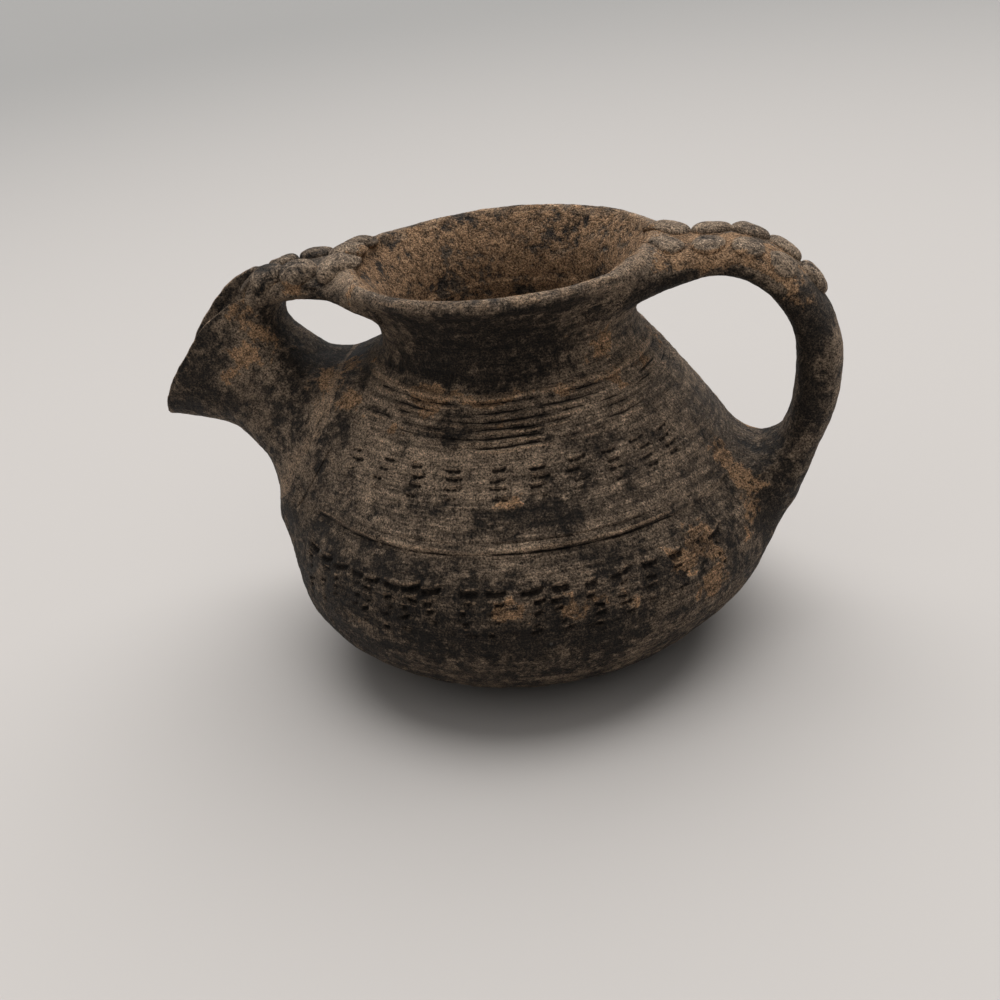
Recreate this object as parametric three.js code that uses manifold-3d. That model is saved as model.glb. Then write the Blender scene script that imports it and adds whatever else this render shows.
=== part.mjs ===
// A hand-built jug of fired clay, in millimetres, +Z up.
// The body is stacked from a bowl, a shoulder and a flared neck. A beak-shaped spout is luted
// over a pour hole, a bridge strap ties the spout to the rim, and a loop handle stands opposite.
// Both straps carry rows of pressed clay pellets.
// The origin is the middle of the flat that the jug rests on. The handle points along +X,
// the spout along -X, and the jug is symmetric about the XZ plane, but for two pellets.

import * as THREE from 'three';
import { mergeVertices } from 'three/addons/utils/BufferGeometryUtils.js';
import Module from 'manifold-3d';

const wasm = await Module();
wasm.setup();

// Heights of the stacked sections
const bowlHeight = 55.2;
const shoulderHeight = 35;
const neckHeight = 29.8;

// Outer radii and where they lie
const restRadius = 30;
const bellyRadius = 73.5;
const bellyHeight = 31;
const seamRadius = 65.2;
const neckFootRadius = 41.3;
const throatRadius = 37.2;
const throatRise = 9.8;
const rimRadius = 46;

// Walls and the gap that a luted joint keeps
const bodyWall = 5;
const lipThickness = 4.6;
const slip = 0.3;

// Turned and combed grooves of the shoulder
const grooveDepth = 0.8;
const grooveWidth = 1.7;
const seamGrooveRise = 2.6;
const combGrooveCount = 5;
const combGroovePitch = 1.9;
const combGrooveDepth = 0.5;
const combGrooveWidth = 1.2;
const combBelowNeck = 2.2;

// Loop handle: a strap from the rim to the belly
const handleReach = 94.6;
const handleSideAboveSeam = 30.8;
const handleRootBelowSeam = 5.2;
const handleStrapWidth = 23;
const handleCrownThickness = 10;
const handleSideThickness = 13.2;
const handleRimRootWidth = 44;
const handleBellyRootWidth = 40;

// Pouring spout
const spoutReach = 109.5;
const spoutTipHeight = 73.5;
const spoutRootLow = 42;
const spoutMouthWidth = 24;
const spoutRootWidth = 62;
const spoutWall = 4.5;
const lipArch = 5.5;
const pourHoleLength = 27;
const pourHoleWidth = 25;

// Bridge strap between the rim and the top of the spout's mouth
const bridgeLength = 27.5;
const bridgeThickness = 8.8;
const bridgeWidth = 28;
const bridgeRimRootWidth = 52;

// Clay pellets
const pelletLength = 10;
const pelletWidth = 9.4;
const pelletHeight = 3.5;
const pelletPitch = 10.9;
const handleRowSpacing = 13.6;
const bridgeRowSpacing = 18;
const sidePelletScale = 0.54;
const handlePelletPairs = 4;

// Smoothness of the faceted solids
const bodySegments = 48;
const strapSides = 16;
const spoutSides = 28;

// Heights that follow from the stack
const neckFootHeight = bowlHeight + shoulderHeight;
const throatHeight = neckFootHeight + throatRise;
const jugHeight = neckFootHeight + neckHeight;

const AXIS_Y = new THREE.Vector3(0, 1, 0);

function firedClay(colour) {
  return new THREE.MeshStandardMaterial({ color: colour, roughness: 0.86, metalness: 0 });
}

const sootedClay = firedClay(0x3a342e);
const burnishedClay = firedClay(0x40382f);
const earthyClay = firedClay(0x5a4330);

// Closed meshes become solids for cutting, and come back as geometry
function toSolid(geometry) {
  const bare = geometry.clone();
  bare.deleteAttribute('normal');
  bare.deleteAttribute('uv');
  const merged = mergeVertices(bare, 1e-4);
  return new wasm.Manifold(new wasm.Mesh({
    numProp: 3,
    vertProperties: new Float32Array(merged.attributes.position.array),
    triVerts: new Uint32Array(merged.index.array),
  }));
}

function toGeometry(solid) {
  const mesh = solid.getMesh();
  const geometry = new THREE.BufferGeometry();
  geometry.setAttribute('position', new THREE.BufferAttribute(mesh.vertProperties, 3));
  geometry.setIndex(new THREE.BufferAttribute(mesh.triVerts, 1));
  geometry.computeVertexNormals();
  return geometry;
}

// A body turned about the vertical axis from (radius, height) points, its outside listed upwards
function turned(points) {
  const geometry = new THREE.LatheGeometry(points, bodySegments);
  return geometry.rotateX(Math.PI / 2);
}

function point(radius, height) {
  return new THREE.Vector2(radius, height);
}

function bend(start, startPull, endPull, end) {
  return new THREE.CubicBezierCurve(start, start.clone().add(startPull), end.clone().add(endPull), end);
}

// Outline of the body, from the resting flat to the lip
const lipRadius = lipThickness / 2;
const lipCentre = point(rimRadius - lipRadius, jugHeight - lipRadius);
const lipSlope = new THREE.Vector2(0.66, -0.75).normalize();
const lipStart = lipCentre.clone().addScaledVector(lipSlope, lipRadius);
const restPoint = point(restRadius, 0);
const bellyPoint = point(bellyRadius, bellyHeight);
const seamPoint = point(seamRadius, bowlHeight);
const neckFootPoint = point(neckFootRadius, neckFootHeight);
const throatPoint = point(throatRadius, throatHeight);

const heelCurve = bend(restPoint, point(22.5, 0), point(0, -13.5), bellyPoint);
const bellyCurve = bend(bellyPoint, point(0, 11), point(5.2, -5.6), seamPoint);
const shoulderCurve = bend(seamPoint, point(-4.5, 9.8), point(6.2, -7.8), neckFootPoint);
const neckFootCurve = bend(neckFootPoint, point(-2.8, 3.5), point(0, -3.5), throatPoint);
const flareCurve = bend(throatPoint, point(0, 7), point(-3.6, -3.2), lipStart);

// Where a curve stands at distance `inset` inside the outline, u running from 0 to 1
function inside(curve, u, inset) {
  const along = curve.getTangent(u);
  const spot = curve.getPoint(u);
  return point(spot.x - along.y * inset, spot.y + along.x * inset);
}

function insidePoints(curve, steps, inset) {
  const points = [];
  for (let i = steps; i >= 0; i -= 1) {
    points.push(inside(curve, i / steps, inset(i / steps)));
  }
  return points;
}

function bodyInset() {
  return bodyWall;
}

function lipInset(u) {
  return bodyWall + (lipThickness - bodyWall) * u;
}

// The place on a rising curve at a given height
function placeAtHeight(curve, height) {
  let low = 0;
  let high = 1;
  for (let i = 0; i < 40; i += 1) {
    const middle = (low + high) / 2;
    if (curve.getPoint(middle).y < height) {
      low = middle;
    } else {
      high = middle;
    }
  }
  return (low + high) / 2;
}

// An outline with a V groove cut at each listed height
function groovedPoints(curve, steps, grooves) {
  const length = curve.getLength();
  const places = grooves.map((groove) => {
    const middle = placeAtHeight(curve, groove.height);
    const half = groove.width / 2 / length;
    return { from: middle - half, middle, to: middle + half, depth: groove.depth };
  });
  const points = [];
  for (let i = 0; i <= steps; i += 1) {
    const u = i / steps;
    if (!places.some((place) => u > place.from - 0.01 && u < place.to + 0.01)) {
      points.push({ u, at: curve.getPoint(u) });
    }
  }
  for (const place of places) {
    points.push({ u: place.from, at: curve.getPoint(place.from) });
    points.push({ u: place.middle, at: inside(curve, place.middle, place.depth) });
    points.push({ u: place.to, at: curve.getPoint(place.to) });
  }
  points.sort((a, b) => a.u - b.u);
  return points.map((entry) => entry.at);
}

// Cuts a wall's end level with a joint, so that stacked sections meet on a flat ring
function levelInner(curve, height, inset) {
  let low = 0;
  let high = 1;
  for (let i = 0; i < 40; i += 1) {
    const middle = (low + high) / 2;
    if (inside(curve, middle, inset).y < height) {
      low = middle;
    } else {
      high = middle;
    }
  }
  return inside(curve, (low + high) / 2, inset).x;
}

// Bowl: the resting flat, the rounded heel and the belly up to the seam
function bowlProfile() {
  const seamInner = point(levelInner(shoulderCurve, bowlHeight, bodyWall), bowlHeight);
  return [
    point(0, 0),
    ...heelCurve.getPoints(8),
    ...bellyCurve.getPoints(5).slice(1, -1),
    seamPoint.clone().add(point(grooveWidth / 4, -grooveWidth / 2)),
    seamPoint.clone().sub(point(grooveDepth, 0)),
    seamInner,
    ...insidePoints(bellyCurve, 4, bodyInset),
    ...insidePoints(heelCurve, 6, bodyInset).slice(1),
    point(0, bodyWall),
  ];
}

// Shoulder: from the grooved seam to the neck foot, combed below the neck
function shoulderProfile() {
  const grooves = [{ height: bowlHeight + seamGrooveRise, width: grooveWidth, depth: grooveDepth }];
  for (let i = 0; i < combGrooveCount; i += 1) {
    const height = neckFootHeight - combBelowNeck - (i * combGroovePitch);
    grooves.push({ height, width: combGrooveWidth, depth: combGrooveDepth });
  }
  const outer = groovedPoints(shoulderCurve, 9, grooves);
  outer[0] = seamPoint.clone().sub(point(grooveDepth, 0));
  outer.splice(1, 0, seamPoint.clone().add(point(-grooveWidth / 4, grooveWidth / 2)));
  const footInner = point(levelInner(neckFootCurve, neckFootHeight, bodyWall), neckFootHeight);
  const seamInner = point(levelInner(shoulderCurve, bowlHeight, bodyWall), bowlHeight);
  const inner = insidePoints(shoulderCurve, 6, bodyInset)
    .filter((spot) => spot.y > bowlHeight + 1 && spot.y < neckFootHeight - 1);
  return [...outer, footInner, ...inner, seamInner, outer[0].clone()];
}

// Neck: from the neck foot in to the throat and out to the rounded lip
function neckProfile() {
  const footInner = point(levelInner(neckFootCurve, neckFootHeight, bodyWall), neckFootHeight);
  const start = lipSlope.angle() - (2 * Math.PI);
  const lip = [];
  for (let i = 1; i <= 6; i += 1) {
    const angle = start + (Math.PI * i) / 6;
    lip.push(lipCentre.clone().add(point(Math.cos(angle), Math.sin(angle)).multiplyScalar(lipRadius)));
  }
  const inner = [
    ...insidePoints(flareCurve, 6, lipInset).slice(1),
    ...insidePoints(neckFootCurve, 3, bodyInset),
  ].filter((spot) => spot.y > neckFootHeight + 1);
  const profile = [
    ...neckFootCurve.getPoints(4),
    ...flareCurve.getPoints(7).slice(1),
    ...lip,
    ...inner,
    footInner,
  ];
  return [...profile, profile[0].clone()];
}

// The whole body filled in and grown by the slip gap: what the luted pieces are cut to
function bodyEnvelope() {
  const outline = [];
  for (const [curve, steps] of [[heelCurve, 8], [bellyCurve, 5], [shoulderCurve, 9], [neckFootCurve, 4],
    [flareCurve, 7]]) {
    for (let i = outline.length ? 1 : 0; i <= steps; i += 1) {
      outline.push(inside(curve, i / steps, -slip));
    }
  }
  const top = jugHeight + slip;
  return toSolid(turned([
    point(0, -slip),
    ...outline,
    point(rimRadius + slip, jugHeight - lipRadius),
    point(rimRadius - lipRadius / 3, top),
    point(0, top),
  ]));
}

// A lofted solid whose rings are rounded ovals between two outlines.
// Each station has a centre, a half-axis vector in the XZ plane, a half width along Y,
// and an arch that lifts the middle of the ring along the way it is drawn.
class Loft {
  constructor(stations, roundness) {
    this.centres = new THREE.CatmullRomCurve3(stations.map((s) => s.centre), false, 'centripetal');
    this.halves = new THREE.CatmullRomCurve3(stations.map((s) => s.half), false, 'centripetal');
    const sizes = stations.map((s) => new THREE.Vector3(s.wide / 2, s.arch ?? 0, 0));
    this.sizes = new THREE.CatmullRomCurve3(sizes, false, 'centripetal');
    this.roundness = roundness;
  }

  // The point at ring t, with (u, v) on or inside the unit circle
  spot(t, u, v, grow = 0) {
    const power = 2 / this.roundness;
    const centre = this.centres.getPoint(t);
    const half = this.halves.getPoint(t);
    const size = this.sizes.getPoint(t);
    const reach = half.length() + grow;
    const away = new THREE.Vector3().crossVectors(half, AXIS_Y).normalize();
    const flatU = Math.sign(u) * Math.abs(u) ** power;
    const flatV = Math.sign(v) * Math.abs(v) ** power;
    return centre
      .addScaledVector(AXIS_Y, flatU * (size.x + grow))
      .addScaledVector(half.normalize(), flatV * reach)
      .addScaledVector(away, size.y * (1 - (v * v)));
  }

  geometry(sides, rings, grow = 0) {
    const geometry = new THREE.CylinderGeometry(1, 1, 1, sides, rings);
    const positions = geometry.attributes.position;
    for (let i = 0; i < positions.count; i += 1) {
      const t = positions.getY(i) + 0.5;
      const spot = this.spot(t, positions.getX(i), positions.getZ(i), grow);
      positions.setXYZ(i, spot.x, spot.y, spot.z);
    }
    return geometry;
  }

  // The top of the ring at t, `aside` from its middle, with the direction that faces out there
  top(t, aside, side) {
    const u = aside / this.sizes.getPoint(t).x;
    const flat = Math.sign(u) * Math.min(Math.abs(u), 0.96) ** (this.roundness / 2);
    const onTop = (s, w) => this.spot(s, w, side * Math.sqrt(Math.max(0, 1 - (w * w))));
    const along = onTop(t + 0.01, flat).sub(onTop(t - 0.01, flat)).normalize();
    const across = onTop(t, flat + 0.02).sub(onTop(t, flat - 0.02)).normalize();
    const out = new THREE.Vector3().crossVectors(along, across).multiplyScalar(side).normalize();
    return { at: onTop(t, flat), along, out };
  }
}

// A strap from a drawn centreline of [x, z, thickness, width] places
function strapStations(places) {
  const line = new THREE.CatmullRomCurve3(
    places.map(([x, z]) => new THREE.Vector3(x, 0, z)),
    false,
    'centripetal',
  );
  return places.map(([x, z, thickness, width], i) => {
    const along = line.getTangent(i / (places.length - 1));
    const half = new THREE.Vector3().crossVectors(AXIS_Y, along).setLength(thickness / 2);
    return { centre: new THREE.Vector3(x, 0, z), half, wide: width };
  });
}

// A ring drawn between two places of the XZ plane
function between(fromX, fromZ, toX, toZ, wide, arch) {
  const from = new THREE.Vector3(fromX, 0, fromZ);
  const to = new THREE.Vector3(toX, 0, toZ);
  const centre = from.clone().add(to).multiplyScalar(0.5);
  const half = to.clone().sub(from).multiplyScalar(0.5);
  return { centre, half, wide, arch };
}

// Loop handle: each ring runs from the outer face of the strap to its inner face
const outerX = handleReach;
const innerX = handleReach - handleSideThickness;
const sideZ = bowlHeight + handleSideAboveSeam;
const rootZ = bowlHeight - handleRootBelowSeam;
const crownZ = jugHeight + 0.4;
const crownUnderZ = crownZ - handleCrownThickness;
const strap = handleStrapWidth;
const belly = bellyRadius;
const handleLoft = new Loft([
  between(rimRadius - 9, jugHeight - 1.5, rimRadius - 9, jugHeight - 14.4, handleRimRootWidth),
  between(rimRadius + 2.5, crownZ - 0.7, rimRadius + 2.5, crownUnderZ - 2.4, strap + 9),
  between(outerX - 36, crownZ, outerX - 36, crownUnderZ, strap + 2.5),
  between(outerX - 25.5, crownZ - 1.1, outerX - 28.5, crownUnderZ - 0.8, strap + 2),
  between(outerX - 15.8, crownZ - 6.2, outerX - 22.6, crownUnderZ - 4, strap + 1.5),
  between(outerX - 8.2, sideZ + 20.5, innerX - 4.2, sideZ + 14.3, strap),
  between(outerX - 2.4, sideZ + 10.5, innerX - 0.9, sideZ + 7.2, strap),
  between(outerX, sideZ, innerX, sideZ - 1, strap),
  between(outerX - 0.7, sideZ - 10, innerX - 0.7, sideZ - 10, strap),
  between(outerX - 3.2, sideZ - 19, innerX - 2.4, sideZ - 18, strap),
  between(belly + 14, rootZ + 8.5, belly + 2, rootZ + 10.5, strap + 2),
  between(belly + 10.5, rootZ, belly - 5, rootZ + 6.8, strap + 8),
  between(belly + 5.5, rootZ - 10, belly - 16, rootZ + 5, handleBellyRootWidth - 3),
  between(belly - 2, rootZ - 17, belly - 22, rootZ - 4, handleBellyRootWidth),
], 2.5);

// Pouring spout: drawn out from the shoulder between an underside line and a back line
const backX = -(rimRadius + bridgeLength);
const backZ = jugHeight - 3;
const lowZ = spoutRootLow;
const footX = -throatRadius;
const footZ = neckFootHeight;
const tipX = -spoutReach;
const tipZ = spoutTipHeight;
const mouthWide = spoutMouthWidth;
const rootWide = spoutRootWidth;
const spoutStations = [
  between(-belly + 10, lowZ - 8, footX + 8, footZ - 6, rootWide + 4, 0),
  between(-belly - 1, lowZ, footX - 5, footZ - 0.5, rootWide - 3, 0),
  between(-belly - 1.8, lowZ + 9.5, footX - 14, footZ - 0.7, (rootWide * 2 + mouthWide) / 3 - 1, 0),
  between(-belly - 4.8, lowZ + 19, backX + 14.5, footZ + 1.5, (rootWide + mouthWide * 2) / 3 + 1, 0.5),
  between(tipX + 23.5, tipZ - 4.2, backX + 7.5, backZ - 18.5, mouthWide + 7, 1.5),
  between(tipX + 11.5, tipZ - 1, backX + 3, backZ - 9, mouthWide + 3, 3.5),
  between(tipX, tipZ, backX, backZ, mouthWide, lipArch),
];
const spoutLoft = new Loft(spoutStations, 2.6);

// The channel runs from inside the body through the pour hole and out past the mouth
const seamToFoot = neckFootPoint.clone().sub(seamPoint).normalize();
const pourHoleCentre = shoulderCurve.getPoint(0.46);
function channelStation(outer, shift) {
  const reach = outer.half.length();
  const half = outer.half.clone().setLength(reach - spoutWall);
  const away = new THREE.Vector3().crossVectors(half, AXIS_Y).normalize();
  const centre = outer.centre.clone().addScaledVector(away, shift);
  return { centre, half, wide: outer.wide - (2 * spoutWall), arch: outer.arch };
}
function pourHoleStation(depth) {
  const half = new THREE.Vector3(-seamToFoot.x, 0, seamToFoot.y).setLength(pourHoleLength / 2);
  const away = new THREE.Vector3().crossVectors(half, AXIS_Y).normalize();
  const centre = new THREE.Vector3(-pourHoleCentre.x, 0, pourHoleCentre.y).addScaledVector(away, -depth);
  return { centre, half, wide: pourHoleWidth, arch: 0 };
}
const spoutMouth = spoutStations[6];
const channelLoft = new Loft([
  pourHoleStation(bodyWall * 2.4),
  pourHoleStation(0),
  channelStation(spoutStations[4], -4),
  channelStation(spoutStations[5], 0),
  channelStation(spoutMouth, 0),
  channelStation(spoutMouth, 8),
], 2.6);

// Bridge strap
const bridgeLoft = new Loft(strapStations([
  [-(rimRadius - 9), jugHeight - 6, bridgeThickness + 1, bridgeRimRootWidth],
  [-(rimRadius + 2), jugHeight - 5.2, bridgeThickness, bridgeWidth + 8],
  [-(rimRadius + 10), jugHeight - 5.2, bridgeThickness, bridgeWidth + 2],
  [backX + 9.5, jugHeight - 6, bridgeThickness, bridgeWidth - 1],
  [backX + 3, jugHeight - 8.4, bridgeThickness, bridgeWidth - 5],
  [backX - 1.5, jugHeight - 12.2, bridgeThickness - 1.2, bridgeWidth - 14],
]), 2.5);

// Solids
const envelope = bodyEnvelope();
const channel = toSolid(channelLoft.geometry(spoutSides, 12));
const shoulder = toSolid(turned(shoulderProfile())).subtract(channel);
const spoutOuter = toSolid(spoutLoft.geometry(spoutSides, 14));
const spoutSeat = toSolid(spoutLoft.geometry(spoutSides, 14, slip));
const spout = spoutOuter.subtract(envelope).subtract(channel);
const bridge = toSolid(bridgeLoft.geometry(strapSides, 10)).subtract(envelope).subtract(spoutSeat);
const handle = toSolid(handleLoft.geometry(strapSides, 24)).subtract(envelope);
const handleSeat = toSolid(handleLoft.geometry(strapSides, 24, slip));
const bridgeSeat = toSolid(bridgeLoft.geometry(strapSides, 10, slip));

// A pellet pressed on the strap: a low dome whose underside takes the shape of what it sits on
function pellet(loft, t, aside, side, scale, seats) {
  const { at, along, out } = loft.top(t, aside, side);
  const across = new THREE.Vector3().crossVectors(out, along);
  const dome = new THREE.SphereGeometry(0.5, 10, 6);
  dome.rotateX(Math.PI / 2);
  dome.scale(pelletLength * scale, pelletWidth * scale, pelletHeight * 2 * scale);
  dome.applyMatrix4(new THREE.Matrix4().makeBasis(along, across, out));
  dome.translate(at.x, at.y, at.z);
  let solid = toSolid(dome);
  for (const seat of seats) {
    solid = solid.subtract(seat);
  }
  return solid;
}

// The ring of a strap where its top edge has the given x
function ringAtX(loft, x, side) {
  let low = 0.02;
  let high = 0.6;
  const rising = loft.spot(high, 0, side).x > loft.spot(low, 0, side).x;
  for (let i = 0; i < 40; i += 1) {
    const middle = (low + high) / 2;
    const before = loft.spot(middle, 0, side).x < x;
    if (before === rising) {
      low = middle;
    } else {
      high = middle;
    }
  }
  return (low + high) / 2;
}

// The ring that lies `distance` further along the strap's top
function ringAfter(loft, t, distance, side) {
  let ring = t;
  let left = distance;
  let spot = loft.spot(ring, 0, side);
  while (left > 0 && ring < 1) {
    ring += 0.002;
    const next = loft.spot(ring, 0, side);
    left -= next.distanceTo(spot);
    spot = next;
  }
  return ring;
}

const jug = new THREE.Group();

function place(name, geometry, material) {
  const mesh = new THREE.Mesh(geometry, material);
  mesh.name = name;
  jug.add(mesh);
}

place('base_bowl', turned(bowlProfile()), sootedClay);
place('shoulder', toGeometry(shoulder), sootedClay);
place('neck_collar', turned(neckProfile()), burnishedClay);
place('pour_spout', toGeometry(spout), burnishedClay);
place('spout_bridge', toGeometry(bridge), burnishedClay);
place('loop_handle', toGeometry(handle), burnishedClay);

// Handle pellets: pairs from the rim outwards, then one on the bend
const handleTop = -1;
const handleSeats = [handleSeat, envelope];
let handleRing = ringAtX(handleLoft, rimRadius + 2.4, handleTop);
let handlePellet = 1;
for (let i = 0; i < handlePelletPairs; i += 1) {
  for (const aside of [-handleRowSpacing / 2, handleRowSpacing / 2]) {
    const solid = pellet(handleLoft, handleRing, aside, handleTop, 1, handleSeats);
    place(`handle_pellet_${handlePellet}`, toGeometry(solid), earthyClay);
    handlePellet += 1;
  }
  handleRing = ringAfter(handleLoft, handleRing, pelletPitch, handleTop);
}
const bendPellet = pellet(handleLoft, handleRing, handleRowSpacing / 4, handleTop, 1, handleSeats);
place(`handle_pellet_${handlePellet}`, toGeometry(bendPellet), earthyClay);

// Bridge pellets: three across at the rim, then two pairs, and a small one low on the near side
const bridgeTop = 1;
const bridgeSeats = [bridgeSeat, spoutSeat, envelope];
const bridgeStart = ringAtX(bridgeLoft, -(rimRadius + 0.8), bridgeTop);
const bridgeSide = ringAfter(bridgeLoft, bridgeStart, pelletPitch * 0.6, bridgeTop);
const bridgeMiddle = ringAfter(bridgeLoft, bridgeStart, pelletPitch, bridgeTop);
const bridgeEnd = ringAfter(bridgeLoft, bridgeMiddle, pelletPitch, bridgeTop);
const bridgePellets = [
  [bridgeStart, -bridgeRowSpacing * 0.58, 1],
  [bridgeStart, 0, 1],
  [bridgeStart, bridgeRowSpacing * 0.58, 1],
  [bridgeMiddle, -bridgeRowSpacing / 2, 1],
  [bridgeMiddle, bridgeRowSpacing / 2, 1],
  [bridgeEnd, -bridgeRowSpacing * 0.38, 0.94],
  [bridgeEnd, bridgeRowSpacing * 0.38, 0.94],
  [bridgeSide, -bridgeRimRootWidth / 2, sidePelletScale],
];
bridgePellets.forEach(([t, aside, scale], i) => {
  const solid = pellet(bridgeLoft, t, aside, bridgeTop, scale, bridgeSeats);
  place(`bridge_pellet_${i + 1}`, toGeometry(solid), earthyClay);
});

export default jug;
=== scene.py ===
import math
import random

import bmesh
import bpy
import numpy as np
from mathutils import Matrix, Vector, noise
from mathutils.bvhtree import BVHTree
from mathutils.geometry import interpolate_bezier


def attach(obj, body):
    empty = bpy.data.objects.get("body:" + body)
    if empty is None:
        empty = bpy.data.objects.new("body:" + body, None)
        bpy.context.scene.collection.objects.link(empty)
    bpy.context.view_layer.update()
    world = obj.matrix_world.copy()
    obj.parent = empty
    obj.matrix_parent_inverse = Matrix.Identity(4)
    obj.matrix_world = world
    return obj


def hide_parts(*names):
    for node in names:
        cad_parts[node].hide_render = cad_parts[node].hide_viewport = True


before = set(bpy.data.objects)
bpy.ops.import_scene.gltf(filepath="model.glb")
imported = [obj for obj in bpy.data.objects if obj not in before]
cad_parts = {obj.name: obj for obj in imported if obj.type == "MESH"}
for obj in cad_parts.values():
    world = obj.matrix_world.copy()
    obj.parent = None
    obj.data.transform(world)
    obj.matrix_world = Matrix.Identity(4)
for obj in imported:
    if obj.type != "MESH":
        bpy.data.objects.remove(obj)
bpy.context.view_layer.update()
mm = 0.001


# Viewpoint: the jug is seen from its right-hand side and from 26 degrees above, a little
# rolled, through a 54 mm lens on a 36 mm wide sensor. The jug itself stands upright.
camera = bpy.data.objects.new("viewpoint", bpy.data.cameras.new("viewpoint"))
bpy.context.scene.collection.objects.link(camera)
camera.data.lens = 54
camera.data.sensor_width = 36
camera.data.clip_start = 0.01
camera.data.clip_end = 20
camera.matrix_world = Matrix((
    (0.97498, 0.01890, 0.22147, 0.0930),
    (0.18855, 0.45738, -0.86905, -0.4028),
    (-0.11780, 0.88900, 0.44240, 0.2448),
    (0, 0, 0, 1),
))
bpy.context.scene.camera = camera
bpy.context.scene.view_settings.view_transform = "Standard"


# Bowl: the lower body of the jug, thick brown clay smoked black in an open firing, with painted
# shade darkening it below the belly. It is built up by hand, turned slowly, scraped below the
# belly and stamped with a toothed comb.
rest_point = (30 * mm, 0)
belly_point = (73.5 * mm, 31 * mm)
seam_height = 55.2 * mm
neck_foot_radius = 41.3 * mm
neck_foot_height = 90.2 * mm
throat_radius = 37.2 * mm
throat_height = 100 * mm
rim_radius = 46 * mm
jug_height = 120 * mm
lip_radius = 2.3 * mm
body_wall = 5 * mm
body_columns = 600


def flat_curve(start, start_pull, end_pull, end, count):
    """Points of a drawn curve in the XZ plane, X being the distance from the jug's axis."""
    knots = [Vector((x, 0, z)) for x, z in (start, start_pull, end_pull, end)]
    knots[1] += knots[0]
    knots[2] += knots[3]
    return interpolate_bezier(*knots, count + 1)


lip_centre = (rim_radius - lip_radius, jug_height - lip_radius)
lip_slope = Vector((0.66, -0.75)).normalized()


def on_the_lip(across, up):
    """A point of the lip's rounded edge, from its direction as seen from the lip's centre."""
    return lip_centre[0] + lip_radius * across, lip_centre[1] + lip_radius * up


seam_point = (65.2 * mm, seam_height)
neck_foot_point = (neck_foot_radius, neck_foot_height)
throat_point = (throat_radius, throat_height)

heel = flat_curve(rest_point, (22.5 * mm, 0), (0, -13.5 * mm), belly_point, 60)
belly = flat_curve(belly_point, (0, 11 * mm), (5.2 * mm, -5.6 * mm), seam_point, 84)
rise = flat_curve(seam_point, (-4.5 * mm, 9.8 * mm), (6.2 * mm, -7.8 * mm), neck_foot_point, 144)
neck_foot = flat_curve(neck_foot_point, (-2.8 * mm, 3.5 * mm), (0, -3.5 * mm), throat_point, 36)
flare = flat_curve(throat_point, (0, 7 * mm), (-3.6 * mm, -3.2 * mm), on_the_lip(*lip_slope), 52)
lip = []
for step in range(1, 12):
    angle = math.atan2(lip_slope.y, lip_slope.x) + math.pi * step / 11
    x, z = on_the_lip(math.cos(angle), math.sin(angle))
    lip.append(Vector((x, 0, z)))
outside = heel + belly[1:] + rise[1:] + neck_foot[1:] + flare[1:]
outline = np.array([(p.x, p.z) for p in outside[::3] + lip])


def inner_wall(points, every, wall=body_wall):
    """The inside of a wall: every few points of its outside, moved in by the wall, top first."""
    found = []
    for i in range(len(points) - 1, -1, -every):
        along = points[min(i + 1, len(points) - 1)] - points[max(i - 1, 0)]
        inward = Vector((-along.z, 0, along.x)).normalized()
        found.append(points[i] + inward * wall)
    return found


def from_axis(co, least=0.0):
    """How far each point is from the jug's upright axis, and at least so far."""
    return np.maximum(np.hypot(co[:, 0], co[:, 1]), least)


def outside_distance(co):
    """How far each point lies outside the body's outer surface, and the way out of it there."""
    flat = np.stack([from_axis(co), co[:, 2]], axis=1)
    flat, back = np.unique(np.round(flat, 7), axis=0, return_inverse=True)
    back = back.ravel()
    start = outline[:-1]
    along = outline[1:] - start
    best = np.full(len(flat), 1e9)
    signed = np.zeros(len(flat))
    way = np.zeros((len(flat), 2))
    for a, d in zip(start, along):
        rel = flat - a
        t = np.clip(rel @ d / (d @ d), 0, 1)
        gap = rel - t[:, None] * d
        far = np.hypot(gap[:, 0], gap[:, 1])
        n = np.array((d[1], -d[0])) / np.hypot(*d)
        near = far < best
        best[near] = far[near]
        signed[near] = np.where(gap @ n >= 0, far, -far)[near]
        way[near] = n
    way = way[back]
    out = co[:, :2] / from_axis(co, 1e-6)[:, None] * way[:, :1]
    return signed[back], np.hstack([out, way[:, 1:]])


def rolled(columns, rows, shape):
    """A sheet of clay rolled into a ring: shape(turn, row) says where its points go, turn being
    an angle and row counting the points across the sheet."""
    bm = bmesh.new()
    bmesh.ops.create_grid(bm, x_segments=columns, y_segments=rows - 1, size=1)
    sheet = np.array([v.co[:] for v in bm.verts])
    turn = np.round((sheet[:, 0] + 1) / 2 * columns) % columns * (2 * math.pi / columns)
    row = np.round((sheet[:, 1] + 1) / 2 * (rows - 1)).astype(int)
    for vert, place in zip(bm.verts, shape(turn, row).tolist()):
        vert.co = place
    bmesh.ops.remove_doubles(bm, verts=bm.verts, dist=1e-6)
    bmesh.ops.recalc_face_normals(bm, faces=bm.faces)
    return bm


def turned(points, columns, closed):
    """Clay turned a full circle about the upright axis from the points of its section."""
    section = np.array([p[:] for p in (list(points) + [points[0]] if closed else points)])

    def around(turn, row):
        reach = section[row, 0]
        return np.stack([reach * np.cos(turn), reach * np.sin(turn), section[row, 2]], axis=1)

    return rolled(columns, len(section), around)


def to_piece(bm, name, material):
    """Makes the finished mesh an object at the origin, shaded smooth and in its material."""
    for face in bm.faces:
        face.smooth = True
    mesh = bpy.data.meshes.new(name)
    mesh.materials.append(material)
    bm.to_mesh(mesh)
    bm.free()
    piece = bpy.data.objects.new(name, mesh)
    bpy.context.scene.collection.objects.link(piece)
    return piece


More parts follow.
